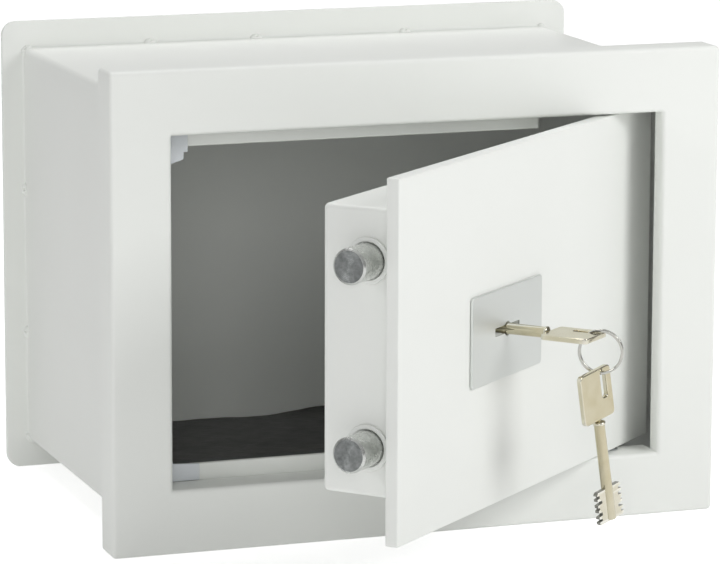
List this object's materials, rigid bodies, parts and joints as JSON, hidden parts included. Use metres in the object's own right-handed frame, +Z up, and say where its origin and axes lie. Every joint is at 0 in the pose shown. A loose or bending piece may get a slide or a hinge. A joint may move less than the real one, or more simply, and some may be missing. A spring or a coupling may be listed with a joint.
{
  "type": "wall safe",
  "caption": "Key-operated wall safe: welded white steel box with front frame and back flange, a pivoted door with round bolts and a double-bit lever lock, keys and felt mat.",
  "frame": {"origin": "centre of the back plate's outer face", "axes": "+Z up, +Y into the wall and out of the back plate, +X to the right seen from the front, so the door faces -Y"},
  "size_m": [0.373, 0.4141, 0.28],
  "materials": {
    "powder_coat_white": "smooth white powder coat over welded steel sheet",
    "pale_primer": "matt pale blue-grey primer",
    "felt_grey": "needle-punched dark grey felt",
    "satin_aluminium": "fine satin anodised",
    "turned_steel": "bright turned steel",
    "zinc_plate": "zinc plated",
    "lever_brass": "stamped brass",
    "nickel_plate": "satin nickel plate"
  },
  "bodies": {
    "safe_body": {"front_frame": "powder_coat_white", "body_wrap": "powder_coat_white", "back_plate": "powder_coat_white", "stop_strip_top": "powder_coat_white", "stop_strip_bottom": "powder_coat_white", "corner_gusset_top": "pale_primer", "corner_gusset_bottom": "pale_primer", "hinge_pin_upper": "turned_steel", "hinge_pin_lower": "turned_steel", "hinge_washer_upper": "zinc_plate", "hinge_washer_lower": "zinc_plate", "floor_mat": "felt_grey"},
    "door": {"door_panel": "powder_coat_white", "door_box": "powder_coat_white", "escutcheon": "satin_aluminium", "bolt_collar_upper": "powder_coat_white", "bolt_collar_lower": "powder_coat_white", "lock_case": "zinc_plate", "lock_cover": "zinc_plate", "lever_guide_left": "zinc_plate", "lever_guide_right": "zinc_plate", "lever_spring": "turned_steel", "lock_screw_1": "zinc_plate", "lock_screw_2": "zinc_plate", "lock_screw_3": "zinc_plate", "lock_screw_4": "zinc_plate", "guide_stud": "zinc_plate", "cover_stud_1": "zinc_plate", "cover_stud_2": "zinc_plate", "cover_stud_3": "zinc_plate", "cover_stud_4": "zinc_plate", "cover_screw_1": "zinc_plate", "cover_screw_2": "zinc_plate", "cover_screw_3": "zinc_plate", "cover_screw_4": "zinc_plate"},
    "levers": {"lever_1": "lever_brass", "lever_2": "lever_brass", "lever_3": "lever_brass", "lever_4": "lever_brass"},
    "boltwork": {"bolt_upper": "turned_steel", "bolt_lower": "turned_steel", "bolt_bar": "zinc_plate", "bolt_screw_upper": "zinc_plate", "bolt_screw_lower": "zinc_plate"},
    "lock_cam": {"lock_cam": "turned_steel"},
    "key": {"key": "nickel_plate"},
    "key_ring": {"key_ring": "nickel_plate"},
    "spare_key": {"spare_key": "nickel_plate"}
  },
  "joints": [
    {"name": "door_hinge", "type": "hinge", "parent": "safe_body", "child": "door", "pos_m": [0.1274, -0.2273, 0], "axis": [0, 0, 1], "range_deg": [-41.7, 63.3]},
    {"name": "lever_lift", "type": "slide", "parent": "door", "child": "levers", "axis": [0, 0, 1], "range_m": [-0.001, 0.001], "stiffness_N_per_m": 3000, "springref_m": 0.0002},
    {"name": "key_turn", "type": "hinge", "parent": "door", "child": "lock_cam", "pos_m": [0.0177, -0.33026, -0.0014], "axis": [-0.6652, 0.7466, 0], "range_deg": [0, 180]},
    {"name": "bolt_throw", "type": "slide", "parent": "door", "child": "boltwork", "axis": [0.7466, 0.6652, 0], "range_m": [0, 0.02]},
    {"name": "key_withdraw", "type": "slide", "parent": "lock_cam", "child": "key", "axis": [0.6652, -0.7466, 0], "range_m": [0, 0.065]},
    {"name": "ring_swing", "type": "hinge", "parent": "key", "child": "key_ring", "pos_m": [0.06064, -0.36674, -0.0014], "axis": [0.7466, 0.6652, 0], "range_deg": [-7, 7]},
    {"name": "spare_key_swing", "type": "hinge", "parent": "key_ring", "child": "spare_key", "pos_m": [0.06064, -0.36674, -0.0227], "axis": [0.859, -0.512, 0], "range_deg": [-10, 10]}
  ],
  "couplings": [
    {"joint": "bolt_throw", "follows": "key_turn", "m_per_rad": 0.0063662}
  ]
}
